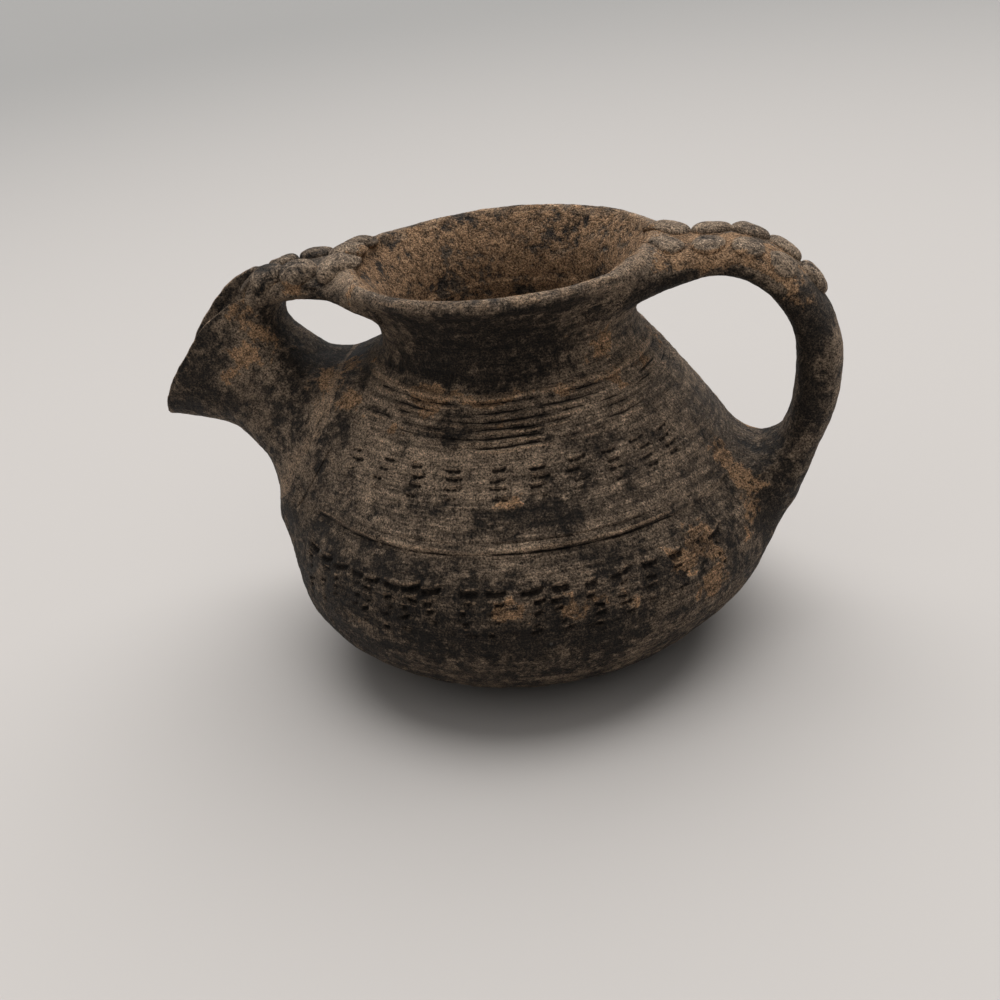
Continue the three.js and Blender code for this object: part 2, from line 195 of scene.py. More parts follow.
def read_points(piece):
    co = np.zeros(len(piece.data.vertices) * 3, np.float32)
    piece.data.vertices.foreach_get("co", co)
    return co.reshape(-1, 3).astype(float)


def read_normals(piece):
    out = np.zeros(len(piece.data.vertices) * 3, np.float32)
    piece.data.vertex_normals.foreach_get("vector", out)
    return out.reshape(-1, 3).astype(float)


def write_points(piece, co):
    piece.data.vertices.foreach_set("co", co.astype(np.float32).ravel())
    piece.data.update()


def rough(co, size, shift=0.0, stretch=(1, 1, 1)):
    """Smooth random hills from -1 to 1, about `size` across."""
    places = (co / (size * np.array(stretch)) + shift).tolist()
    return np.array([noise.noise(p) for p in places])


def round_the_jug(co):
    """Angle in degrees, 0 at the handle and growing toward the viewer, and height in mm."""
    return np.degrees(np.arctan2(-co[:, 1], co[:, 0])), co[:, 2] / mm


def on_a_ring(angle, height, width, line):
    """Places for hills drawn out round the jug, `width` wide in turns and `line` high in mm."""
    a = np.radians(angle)
    return np.stack([np.cos(a) / width, np.sin(a) / width, height / line], axis=1)


def hills(places, shift=0.0):
    return np.array([noise.noise(p) for p in (places + shift).tolist()])


def apart(angle, middle):
    return (angle - middle + 180) % 360 - 180


def smooth_step(x):
    x = np.clip(x, 0, 1)
    return x * x * (3 - 2 * x)


def bell(x, width):
    """1 in the middle, fading to nothing at about twice the width."""
    return np.exp(-(x / width) ** 2)


# marks of the comb: (angle, height, length, thickness, depth, tilt), in degrees and mm
random.seed(14)
comb_marks = []
lower_band_top, lower_row_step = 47.7, 2.75
upper_band_top, upper_row_step, upper_thickness = 75.2, 2.15, 0.72

# the lower band has columns of jabs, the top one of each a long deep crescent
lower_band = [118, 112, 107, 102, 93, 87, 79, 73, 66, 59, 52, 45, 38]
while lower_band[-1] > -146:
    lower_band.append(lower_band[-1] - random.uniform(5.2, 8.6))
for column in [142, 135, 129, 123] + lower_band:
    if abs(column) < 30:
        continue
    strong = random.uniform(0.8, 1.05) if column > 50 else random.uniform(0.5, 0.9)
    top = lower_band_top + random.uniform(-0.4, 0.4)
    comb_marks.append((
        column, top, random.uniform(4.2, 6.8), random.uniform(1.1, 1.5),
        random.uniform(1.0, 1.5) * strong, random.uniform(-0.25, 0.05),
    ))
    for row in range(1, random.choice((4, 5, 5))):
        comb_marks.append((
            column + random.uniform(-1.6, 1.6),
            top - lower_row_step * row + random.uniform(-0.7, 0.7),
            random.uniform(1.6, 3.8), random.uniform(0.7, 1.1),
            random.uniform(0.6, 1.25) * strong, random.uniform(-0.4, 0.2),
        ))
# the upper band has short combed dashes, four above each other
upper_band = [124, 111, 98, 86, 74, 63, 52, 41, 31]
while upper_band[-1] > -140:
    upper_band.append(upper_band[-1] - random.uniform(10.0, 13.0))
for column in [137] + upper_band:
    if abs(column) < 26:
        continue
    strong = random.uniform(0.8, 1.1) if column > 30 else random.uniform(0.45, 0.9)
    for row, share in enumerate((1.0, 0.95, 0.8, 0.6)):
        comb_marks.append((
            column + random.uniform(-1.2, 1.2),
            upper_band_top - upper_row_step * row + random.uniform(-0.25, 0.25),
            (2.8 + 2.8 * share) * random.uniform(0.75, 1.1), upper_thickness,
            random.uniform(0.8, 1.25) * share * strong, random.uniform(-0.12, 0.06),
        ))

# pits where grit fell out: (angle, height, size, depth)
pit_ranges = ((-180, 180), (6, 118), (0.35, 1.1), (0.12, 0.42))
pits = [tuple(random.uniform(*span) for span in pit_ranges) for _ in range(900)]

# lines drawn round the jug: (height, depth, breadth, ridge above) and (height, depth)
seam_grooves = ((56.2, 1.35, 0.30, 0.45), (58.9, 0.6, 0.25, 0.1))
combed_lines = ((90.0, 0.75), (88.1, 0.65), (86.2, 0.65), (84.3, 0.6), (82.4, 0.55), (80.5, 0.45))
faint_line = 50.9
neck_ledge = 91.3
front_angle = 82


def tooled(angle, height, radius):
    """The marks of hand and comb on the outside of the body, in mm, proud of it when positive."""
    fine = np.zeros(len(angle))

    def waves(width, shift):
        return hills(on_a_ring(angle, height * 0, width, 1), shift)

    # the seam: a thin torn line under a soft ridge, with a fainter line above
    sway = 0.5 * waves(0.7, 3.1) + 0.16 * waves(0.12, 5.9)
    press = 0.72 + 0.6 * waves(0.3, 7.7)
    press *= 1 - 0.8 * smooth_step((48 - np.abs(apart(angle, 0))) / 16)
    press = np.clip(press, 0.3, 1)
    torn = 0.35 * waves(0.045, 15.2)
    for middle, deep, broad, above in seam_grooves:
        off = height - middle - sway - torn * broad
        broken = 0.75 + 0.7 * waves(0.06, middle)
        strong = 0.6 + 0.4 * bell(apart(angle, 72), 30)
        fine -= deep * press * strong * np.clip(broken, 0.08, 1) * bell(off, broad)
        fine += above * press * bell(off - 1.0, 0.6)
    fine -= 0.3 * press * bell(height - faint_line - sway, 0.5)
    # ledge and combed lines under the neck
    sway = 0.5 * waves(0.55, 12.4)
    fine += 0.5 * bell(height - neck_ledge - sway, 0.9)
    front = np.exp(-(apart(angle, front_angle) / 13) ** 4)
    for number, (middle, strong) in enumerate(combed_lines):
        wander = sway + 0.4 * waves(0.3, 20 + number * 3.3)
        wander += 0.14 * waves(0.06, 33 + number * 1.7)
        come_and_go = waves(0.2, 40 + number * 5.1)
        deep = strong * np.clip(0.7 + 1.4 * come_and_go, 0.1, 1)
        deep = np.maximum(deep, (0.85 if number > 1 else 0.55) * front)
        off = height - middle - wander
        fine -= deep * bell(off, 0.26)
        fine += 0.55 * deep * bell(off + 0.9, 0.4)
    # comb stamps
    for middle, row, length, tall, deep, tilt in comb_marks:
        near = np.abs(height - row) < 3.2
        side = apart(angle[near], middle) * np.pi / 180 * radius[near]
        up = height[near] - row - tilt * side - 0.045 * side * side
        ends = 1 - smooth_step((np.abs(side) - length * 0.34) / (length * 0.2))
        ends = ends * np.clip(0.95 + 0.5 * np.sin(side * 3.1 + middle * 5), 0.45, 1)
        cut = np.where(up > 0, bell(up, tall * 0.36), bell(up, tall * 0.85))
        edge = 0.34 * bell(up - tall * 0.85, tall * 0.4) + 0.24 * bell(up + tall * 1.5, tall * 0.5)
        fine[near] += deep * ends * (edge - cut)
    # scratches of the wiping hand, and small pits
    wiped = smooth_step((height - 31) / 6) * (1 - 0.4 * smooth_step((height - 50) / 3))
    fine += 0.16 * wiped * hills(on_a_ring(angle, height, 0.5, 1.1), 60)
    fine += 0.13 * wiped * hills(on_a_ring(angle, height, 0.25, 0.6), 80)
    for middle, row, size, deep in pits:
        near = np.abs(height - row) < size * 2.5
        side = apart(angle[near], middle) * np.pi / 180 * radius[near]
        fine[near] -= deep * np.exp(-(side ** 2 + (height[near] - row) ** 2) / size ** 2)
    return fine


def unevenness(co):
    """The surface that hands leave in clay, the same for all pieces where they meet: its
    hills and its fine part, in mm."""
    angle, height = round_the_jug(co)
    away = from_axis(co) / mm - 70
    lumps = 0.42 * rough(co, 26 * mm, 2.0) + 0.22 * rough(co, 10 * mm, 4.0) - 0.15
    lumps += 0.3 * smooth_step(away / 12) * rough(co, 7 * mm, 31.0)
    # scraped facets and a soft step below the belly, and a flatter heel on the handle's side
    low = 1 - smooth_step((height - 29.5) / 2.2)
    lumps += low * (0.3 * rough(co, 15 * mm, 11.0) - 0.38)
    lumps -= 1.7 * (bell(apart(angle, 28), 42) * bell(height - 17, 13))
    fine = 0.13 * rough(co, 3.2 * mm, 5.0) + 0.10 * rough(co, 1.3 * mm, 9.0)
    return lumps, fine


# Patches that the fire left earthy or sooty run on from piece to piece, so they are kept for
# the whole jug: (x, y, z, reach along, reach up, strength), in mm
earth_patches = [
    (7, -71, 44, 3.4, 2.8, 1), (-3, -72, 42, 1.6, 2, 0.8), (15, -70, 42, 2.2, 1.6, 0.9),
    (23, -68, 42, 2.9, 2.2, 1), (30, -65, 44, 2.6, 1.5, 0.8), (31, -66, 37, 2, 1.5, 0.6),
    (39, -61, 38, 1.6, 2.4, 0.8), (44, -54, 48, 2.8, 1.6, 0.7), (28, -63, 49, 3, 1.4, 0.6),
    (57, -43, 46, 7.5, 5, 1.2), (50, -50, 45, 5, 3.6, 1), (59, -43, 35, 5.4, 5, 1.1),
    (55, -48, 33, 3.4, 2.4, 0.5), (67, -22, 46, 5, 8, 0.8), (65, -17, 53, 6.5, 8, 0.75),
    (60, -16, 61, 7, 6.5, 0.8), (8, -58, 67, 5, 2.6, 0.75), (-20, -49, 75, 2, 1, 0.7),
    (44, -39, 66, 2.2, 1.8, 0.5), (-28, -38, 82, 2, 1.3, 0.8), (-23, -41, 82, 2, 1.2, 0.8),
    (2, -45, 85, 2, 1, 0.8), (8, -44, 86, 3.2, 1, 0.7), (-16, -37, 91, 6.5, 2.4, 1.1),
    (-4, -41, 91, 7, 1.4, 0.9), (4, -41, 90, 7, 1.4, 0.9), (20, -35, 91, 6, 1.4, 0.9),
    (32, -26, 90, 5.4, 1.6, 0.9), (40, -13, 89, 4.2, 1.6, 0.8), (42, 4, 89, 3, 2.6, 0.7),
    (30, -22, 99, 7, 6, 0.65), (22, -30, 102, 4.6, 3.2, 0.5), (-39, -15, 90, 3.4, 3, 0.7),
    (-44, -22, 84, 5, 2.6, 0.95), (-39, -30, 79, 1.7, 3.4, 1.1), (-49, -30, 72, 3.4, 2.4, 0.6),
    (-49, -32, 66, 2.6, 1.8, 0.5), (-55, -30, 67, 2.2, 1.6, 0.5), (-52, -14, 88, 6.5, 4.5, 0.9),
    (-48, -9, 89, 6, 3.4, 0.9), (-76, -10, 107, 4.8, 3.6, 0.95), (-72, -10, 102, 4.4, 3.2, 0.9),
    (-79, -14, 96, 4, 2.8, 1.05), (-84, -14, 91, 3, 2.4, 0.8), (-66, -10, 95, 4.2, 3.2, 0.7),
    (-40, 1, 119, 5, 3.2, 1), (-59, -14, 116, 4, 2.4, 0.8), (-50, -2, 119, 6, 2.5, 0.6),
    (-37, -26, 119, 3, 2, 0.7), (44, -8, 118, 5, 3, 0.9), (57, -9, 119, 8, 3, 0.9),
    (67, -12, 117, 7, 3, 0.95), (73, -11, 115, 4.5, 2.6, 0.9), (82, -8, 104, 4, 4, 0.5),
    (28, -64, 41, 26, 6, 0.42), (-30, -64, 36, 14, 4, 0.34), (68, -18, 68, 6, 10, 0.4),
    (-10, 72, 42, 9, 5, 0.9), (34, 62, 46, 7, 4, 0.8), (-40, 52, 52, 8, 6, 0.7),
    (10, 50, 74, 9, 4, 0.7), (-30, 34, 88, 9, 3, 0.9), (26, 33, 90, 8, 3, 0.8),
    (-78, 12, 98, 7, 6, 0.9), (62, 20, 56, 8, 9, 0.7), (0, -20, 4, 14, 4, 0.5),
]
soot_patches = [
    (9, -73, 34, 20, 3.6, 0.68), (30, -67, 33, 9, 4.6, 0.56), (-10, -72, 37, 6, 3, 0.56),
    (-41, -59, 43, 6, 5, 0.6), (-25, -67, 43, 8, 5, 0.52), (-3, -70, 48, 7, 2.8, 0.56),
    (45, -56, 43, 4.6, 3, 0.44), (31, -60, 52, 6.5, 2, 0.48), (73, -17, 45, 4, 7, 0.72),
    (10, -59, 63.5, 11, 3, 0.8), (20, -56, 63.5, 9, 2.4, 0.64), (-19, -56, 65, 5, 3.4, 0.4),
    (40, -49, 58, 7, 2.4, 0.4), (-12, -44, 84, 7, 2.6, 0.48), (6, -38, 104, 17, 8, 0.76),
    (-15, -35, 102, 9, 8, 0.56), (13, -42, 115, 7.5, 1.8, 0.88), (2, -44, 114, 9, 2, 0.56),
    (23, -38, 115, 6, 1.6, 0.72), (-64, -10, 94, 2.4, 2.2, 0.88), (-68, -9, 97, 4, 3, 0.44),
    (-98, -12, 83, 7, 5, 0.56), (-87, -13, 98, 3.4, 4.6, 0.4), (-85, -14, 82, 5, 3, 0.44),
    (-54, 2, 91, 10, 2.2, 0.64), (-40, -17, 87, 2.6, 2.6, 0.88), (-61, -18, 85, 4, 4, 0.44),
    (83, -11, 95, 3.4, 10, 0.76), (80, -12, 78, 4, 12, 0.64), (83, -6, 109, 4, 3, 0.32),
    (8, 66, 50, 22, 8, 0.64), (-50, 50, 36, 12, 9, 0.64), (50, 44, 60, 12, 7, 0.64),
    (-8, 45, 84, 16, 5, 0.56), (0, 38, 104, 16, 8, 0.72), (-96, 12, 86, 9, 8, 0.64),
    (40, -20, 12, 16, 8, 0.4), (-30, 20, 6, 18, 8, 0.48),
]


def patchy(co, patches):
    """How strongly a set of patches covers each point."""
    cover = np.zeros(len(co))
    for x, y, z, along, up, strength in patches:
        gap = co / mm - np.array((x, y, z))
        far = (gap[:, 0] ** 2 + gap[:, 1] ** 2) / along ** 2 + gap[:, 2] ** 2 / up ** 2
        cover = np.maximum(cover, strength * np.exp(-0.6 * far))
    return cover


def smoked_and_shaded(co, inside):
    """The smoke all over the jug with painted shade mixed in: darkest on the neck's front under
    the rim and on the bowl, partly smoke and partly painted shade, least in the mouth, where a
    painted shadow lies deep in the throat.
    """
    angle, height = round_the_jug(co)
    across = co[:, 0] / mm
    on_neck = smooth_step((60 - from_axis(co) / mm) / 6)
    below_the_rim = 1 - smooth_step((height - 113) / 5)
    wavering = height + 5 * rough(co, 15 * mm, 97.0) + 2.5 * rough(co, 5 * mm, 99.0)
    # darker below the belly: partly soot, partly painted shade where the bowl turns away from the
    # light
    smoke_and_shade_level = 0.16 + 0.28 * (1 - smooth_step((wavering - 44) / 8))
    smoke_and_shade_level += 0.15 * smooth_step((height - 48) / 3) * smooth_step((57.5 - height) / 3)
    smoke_and_shade_level += 0.22 * smooth_step((-across - 34) / 14) + 0.14 * smooth_step((across - 76) / 8)
    smoke_and_shade_level -= 0.2 * smooth_step((68 - np.abs(angle)) / 20) * smooth_step((height - 57) / 5)
    # the neck under the flared rim, most at its front, is darker: partly soot, partly painted
    # shade
    smoke_and_shade_level += 0.14 * on_neck * smooth_step((height - 90) / 5) * below_the_rim
    front = bell(apart(angle, 90) + 12 * rough(co, 12 * mm, 95.0), 42)
    smoke_and_shade_level += 0.2 * on_neck * front * smooth_step((height - 94) / 4) * below_the_rim
    # the rim's top is lighter: partly worn, partly a painted highlight
    smoke_and_shade_level -= 0.22 * smooth_step((height - 116.5) / 2.5) * on_neck
    runs_and_throat_shade = rough(co, 5.5 * mm, 91.0, stretch=(1, 1, 2.6)) + 0.5 * rough(co, 2.4 * mm, 93.0)
    runs_and_throat_shade = 0.34 * smooth_step((runs_and_throat_shade - 0.02) / 0.4) * bell(across - 16, 17)
    runs_and_throat_shade *= smooth_step((height - 99) / 6)
    # painted shadow deep in the throat, below about 91 mm inside the mouth
    runs_and_throat_shade += 0.22 * smooth_step((height - 114.5) / 3) + 0.5 * (1 - smooth_step((height - 91) / 4))
    return smoke_and_shade_level * (1 - inside) + inside * (0.02 + runs_and_throat_shade)


def facing_in(co, way):
    """How squarely a surface faces the jug's axis: 1 is straight at it, -1 straight away."""
    return -(way[:, 0] * co[:, 0] + way[:, 1] * co[:, 1]) / from_axis(co, 1e-6)


def tint(piece, marks, earth=0.0, soot_and_shade=0.0, wiped=0.0, in_the_mouth=1.0):
    """Keeps each point's earth, soot with painted shade, marks with painted highlights, and wiping
    as a colour layer that the clay reads.
    """
    co = read_points(piece)
    within = from_axis(co) < wall_middle(co[:, 2]) + 0.5 * mm
    inside = smooth_step((facing_in(co, read_normals(piece)) + 0.15) / 0.4) * within
    inside *= smooth_step((co[:, 2] / mm - 60) / 12) * in_the_mouth
    bend = np.stack([
        3.2 * rough(co, 9 * mm, 70 + k) + 1.3 * rough(co, 2.6 * mm, 80 + k) for k in range(3)
    ], axis=1) * mm
    layer = np.ones((len(co), 4))
    cleared = patchy(co + bend, earth_patches) * (1 - inside)
    layer[:, 0] = np.clip(cleared + 0.8 * inside + earth, 0, 1)
    # the green layer holds soot and painted shade; the blue layer holds marks and painted
    # highlights
    layer[:, 1] = np.clip(
        0.9 * patchy(co + bend, soot_patches) * (1 - inside) + smoked_and_shaded(co, inside) + soot_and_shade
        - 0.45 * cleared ** 2, 0, 1,
    )
    layer[:, 2] = np.clip(0.5 + 0.5 * marks, 0, 1)
    layer[:, 3] = wiped
    firing_and_painted_light = piece.data.color_attributes.new("firing_and_painted_light", "FLOAT_COLOR", "POINT")
    firing_and_painted_light.data.foreach_set("color", layer.astype(np.float32).ravel())


def feed(node, sockets):
    """Gives each named socket of a node a value, or a link from another node's output."""
    for socket, value in sockets.items():
        if isinstance(value, bpy.types.NodeSocket):
            node.id_data.links.new(value, node.inputs[socket])
        else:
            node.inputs[socket].default_value = value
    return node


def fired_clay(name, light=1.0, rub=0.0):
    """Unglazed clay smoked in the fire: a dark ground mottled brown, with earthy patches where
    the smoke burnt off, soot and painted shade, fine streaks of the wiping hand, grit, and worn
    ridges that also carry painted highlights."""
    material = bpy.data.materials.new(name)
    material.use_nodes = True
    nodes = material.node_tree.nodes
    where = nodes.new("ShaderNodeTexCoord")
    firing_and_painted_light = nodes.new("ShaderNodeAttribute")
    firing_and_painted_light.attribute_name = "firing_and_painted_light"
    layers = feed(nodes.new("ShaderNodeSeparateColor"), {"Color": firing_and_painted_light.outputs["Color"]})
    # green carries soot and painted shade, blue carries relief marks and painted highlights
    earthy, soot_and_shade_layer, relief = (layers.outputs[colour] for colour in ("Red", "Green", "Blue"))
    wiping = firing_and_painted_light.outputs["Alpha"]

    def cloud(scale, detail, roughness, shift=0.0, swirl=0.0, stretch=(1, 1, 1)):
        place = feed(nodes.new("ShaderNodeMapping"), {
            "Vector": where.outputs["Object"], "Location": (shift, shift * 0.7, -shift),
            "Scale": stretch,
        })
        texture = feed(nodes.new("ShaderNodeTexNoise"), {
            "Vector": place.outputs["Vector"], "Scale": scale, "Detail": detail,
            "Roughness": roughness, "Distortion": swirl,
        })
        return texture.outputs["Fac"]

    def reach(value, low, high, to_low=0.0, to_high=1.0):
        ramp = nodes.new("ShaderNodeMapRange")
        ramp.interpolation_type = "SMOOTHSTEP"
        feed(ramp, {
            "Value": value, "From Min": low, "From Max": high, "To Min": to_low, "To Max": to_high,
        })
        return ramp.outputs["Result"]

    def sums(operation, first, second):
        node = nodes.new("ShaderNodeMath")
        node.operation = operation
        return feed(node, {0: first, 1: second}).outputs["Value"]

    def mixed(*shares):
        total = sums("MULTIPLY", *shares[0])
        for value, share in shares[1:]:
            total = sums("ADD", total, sums("MULTIPLY", value, share))
        return total

    def blend(factor, under, over):
        under, over = ((*c, 1) if isinstance(c, tuple) else c for c in (under, over))
        node = nodes.new("ShaderNodeMix")
        node.data_type = "RGBA"
        return feed(node, {0: factor, 6: under, 7: over}).outputs[2]

    def shaded(colour, by):
        node = nodes.new("ShaderNodeVectorMath")
        node.operation = "SCALE"
        return feed(node, {0: colour, "Scale": by}).outputs["Vector"]

    black = (0.0120, 0.0084, 0.0060)
    dark = (0.048 * light, 0.0345 * light, 0.0245 * light)
    brown = (0.29 * light, 0.21 * light, 0.144 * light)
    dust = (0.47 * light, 0.353 * light, 0.25 * light)
    tan = (0.40, 0.235, 0.125)
    dark_tan = tuple(0.5 * c for c in tan)
    dusty_tan = tuple(0.5 * (a + b) for a, b in zip(dust, tan))
    chalk = (0.30, 0.27, 0.23)

    broad = cloud(24, 3, 0.55)
    middle = cloud(120, 6, 0.66, shift=3, swirl=0.25)
    small = cloud(420, 5, 0.7, shift=7, swirl=0.2)
    grit = cloud(1900, 3, 0.8, shift=11)
    wiped = cloud(52, 6, 0.8, shift=5, stretch=(1, 1, 13))

    # the ground: dark with brown mottling and dust in the grain, darker where it is smoked and
    # where shade is painted
    mottle = mixed((broad, 0.34), (middle, 0.46), (small, 0.2))
    ground = blend(reach(mottle, 0.36, 0.62), dark, brown)
    dusty = reach(mixed((small, 0.5), (grit, 0.5)), 0.55, 0.61, 0.0, 0.28 + rub)
    ground = shaded(blend(dusty, ground, dust), reach(soot_and_shade_layer, 0.0, 0.6, 1.26, 0.66))

    # earthy flakes, then soot and painted shade around them, which thin out over the grain
    edges = mixed((middle, 1.1), (small, 0.7))
    earth = sums("ADD", sums("MULTIPLY", earthy, 0.5), edges)
    earth_cover = reach(earth, 1.16, 1.25, 0.0, 0.88)
    tans = blend(reach(mixed((small, 0.6), (middle, 0.4)), 0.42, 0.56), dark_tan, tan)
    tans = blend(reach(grit, 0.55, 0.7, 0.0, 0.5), tans, dust)
    coloured = blend(earth_cover, ground, tans)
    soot_and_shade = sums("ADD", sums("MULTIPLY", soot_and_shade_layer, 0.45), sums("SUBTRACT", 1.8, edges))
    grain = reach(mixed((small, 0.4), (grit, 0.6)), 0.4, 0.62, 1.14, 0.7)
    soot_and_shade_cover = sums("MULTIPLY", reach(soot_and_shade, 1.01, 1.23, 0.0, 0.82), grain)
    coloured = blend(soot_and_shade_cover, coloured, black)

    # black in the hollows, rubbed ridges, dark pores, streaks of wiping and a few lime specks
    coloured = blend(reach(relief, 0.38, 0.24, 0.0, 0.88), coloured, black)
    # the pale ridge colour also paints the highlights laid on the rim's crown and the spout's lip
    coloured = blend(reach(relief, 0.58, 0.68, 0.0, 0.5), coloured, dusty_tan)
    coloured = shaded(coloured, reach(mixed((grit, 0.85), (small, 0.15)), 0.36, 0.64, 0.15, 2.2))
    coloured = shaded(coloured, reach(mixed((small, 0.6), (grit, 0.4)), 0.36, 0.43, 0.45, 1.0))
    streak = sums("MULTIPLY", reach(wiped, 0.38, 0.62, -0.5, 0.5), wiping)
    coloured = shaded(coloured, sums("ADD", streak, 1.0))
    speck = feed(nodes.new("ShaderNodeTexVoronoi"), {
        "Vector": where.outputs["Object"], "Scale": 230,
    })
    chosen = feed(nodes.new("ShaderNodeSeparateColor"), {"Color": speck.outputs["Color"]})
    few = reach(chosen.outputs["Red"], 0.95, 0.97)
    lime = sums("MULTIPLY", reach(speck.outputs["Distance"], 0.14, 0.08), few)
    coloured = blend(sums("MULTIPLY", lime, 0.6), coloured, chalk)

    # the rough skin, and how dull it is
    surface = mixed(
        (grit, 0.9), (small, 2.2), (middle, 2.0), (earth_cover, 0.35), (soot_and_shade_cover, -0.3),
    )
    surface = sums("ADD", surface, sums("MULTIPLY", wiped, sums("MULTIPLY", wiping, 1.8)))
    bump = feed(nodes.new("ShaderNodeBump"), {
        "Strength": 1.0, "Distance": 0.0016, "Height": surface,
    })
    dull = sums("ADD", reach(middle, 0.3, 0.7, 0.58, 0.76), sums("MULTIPLY", earth_cover, 0.2))
    feed(nodes["Principled BSDF"], {
        "Base Color": coloured, "Roughness": dull, "Specular IOR Level": 0.2,
        "Normal": bump.outputs["Normal"],
    })
    return material


sooted_clay = fired_clay("smoked body clay")

bowl_inside = inner_wall(belly, 12) + inner_wall(heel, 8)
for spot in bowl_inside:
    spot.z = max(min(spot.z, seam_height), body_wall)
bowl_section = [Vector((x * mm, 0, 0)) for x in (0, 10, 20)] + heel + belly[1:] + bowl_inside
bowl_section += [Vector((15 * mm, 0, body_wall)), Vector((0, 0, body_wall))]
bowl = to_piece(turned(bowl_section, body_columns, closed=False), "bowl_body", sooted_clay)
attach(bowl, "root")
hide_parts("base_bowl")


# Shoulder: the upper body, luted to the bowl at the twin grooves. It is turned slowly by hand,
# wiped while wet, combed below the neck and stamped with short rows of dashes.
throat_inside = throat_radius - body_wall
throat_ease = 1.2 * mm
narrows_from = 78 * mm
shoulder_inside = inner_wall(rise, 9)
for spot in shoulder_inside:
    spot.z = max(min(spot.z, neck_foot_height), seam_height)
    narrow = smooth_step((spot.z - narrows_from) / (neck_foot_height - narrows_from))
    spot.x -= (spot.x - throat_inside - throat_ease) * narrow if spot.x > throat_inside else 0
shoulder_clay = turned(rise + shoulder_inside, body_columns, closed=True)
pour_hole = (27.0 * mm, 25.0 * mm)
hole_middle = rise[66]
hole_slope = (rise[-1] - rise[0]).normalized()

co = np.array([v.co[:] for v in shoulder_clay.verts])
along = (co[:, 2] - hole_middle.z) / hole_slope.z / (pour_hole[0] / 2)
aside = co[:, 1] / (pour_hole[1] / 2)
open_here = (along ** 2 + aside ** 2 < 1) & (co[:, 0] < 0)
shoulder_clay.verts.ensure_lookup_table()
for i in np.nonzero(open_here)[0]:
    shoulder_clay.verts[i].tag = True
cut_out = [face for face in shoulder_clay.faces if all(v.tag for v in face.verts)]
bmesh.ops.delete(shoulder_clay, geom=cut_out, context="FACES")
hole_edges = [edge for edge in shoulder_clay.edges if edge.is_boundary]
bmesh.ops.smooth_vert(
    shoulder_clay, verts=list({v for edge in hole_edges for v in edge.verts}), factor=0.5,
    use_axis_x=True, use_axis_y=True, use_axis_z=True,
)
bmesh.ops.bridge_loops(shoulder_clay, edges=hole_edges)
bmesh.ops.recalc_face_normals(shoulder_clay, faces=shoulder_clay.faces)
shoulder = to_piece(shoulder_clay, "shoulder_body", sooted_clay)
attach(shoulder, "root")
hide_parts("shoulder")


# Neck: a short collar that flares to a rounded, slightly uneven rim. Its inside burnt clear of
# smoke, so it is earthy with dark runs and a painted shadow deep in the throat, and its outside
# is black, partly from the hearth and partly painted shade under the flared rim.
neck_clay = fired_clay("smoked neck clay")
neck_wall = 4.7 * mm
neck_inside = [
    p for p in inner_wall(flare, 2, neck_wall) + inner_wall(neck_foot, 2)
    if p.z < lip[-1].z - 0.4 * mm
]
for spot in neck_inside:
    spot.z = max(spot.z, neck_foot_height)
    below = max(0, (throat_height - spot.z) / (throat_height - neck_foot_height))
    if below:
        spot.x = min(spot.x, throat_inside + throat_ease * below ** 3)
neck_section = neck_foot + flare[1:] + lip + neck_inside
neck = to_piece(turned(neck_section, body_columns, closed=True), "neck_and_rim", neck_clay)
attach(neck, "root")
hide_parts("neck_collar")


# Spout: a beak of clay drawn out over an oval hole in the shoulder, open in front, with a thin
# arched lip. It is luted on while leather-hard, and the clay is smeared over the joint.
spout_rings = [
    (-63.5, 34, -29.2, 84.2, 66, 0),
    (-74.5, 42, -42.2, 89.7, 59, 0),
    (-75.3, 51.5, -51.2, 89.5, 48.3, 0),
    (-78.3, 61, -59, 91.7, 37.7, 0.5),
    (-86, 69.3, -66, 98.5, 31, 1.5),
    (-98, 72.5, -70.5, 108, 27, 3.5),
    (-109.5, 73.5, -73.5, 117, 24, 5.5),
]
spout_lip = 1.7
spout_roundness = 2.6
strap_roundness = 2.5


def drawn_through(points, t):
    """A smooth line drawn through the given points, at each t from 0 to 1."""
    points = np.array(points, float)
    last = len(points) - 1
    i = np.minimum(np.floor(t * last).astype(int), last - 1)
    w = (t * last - i)[:, None]
    padded = np.vstack([2 * points[0] - points[1], points, 2 * points[last] - points[last - 1]])
    p0, p1, p2, p3 = (padded[i + k] for k in range(4))
    d0, d1, d2 = (
        np.maximum(np.sqrt(np.linalg.norm(b - a, axis=1)), 1e-4)[:, None]
        for a, b in ((p0, p1), (p1, p2), (p2, p3))
    )
    leave = ((p1 - p0) / d0 - (p2 - p0) / (d0 + d1) + (p2 - p1) / d1) * d1
    enter = ((p2 - p1) / d1 - (p3 - p1) / (d1 + d2) + (p3 - p2) / d2) * d1
    square = 3 * (p2 - p1) - 2 * leave - enter
    cube = 2 * (p1 - p2) + leave + enter
    return p1 + leave * w + square * w ** 2 + cube * w ** 3


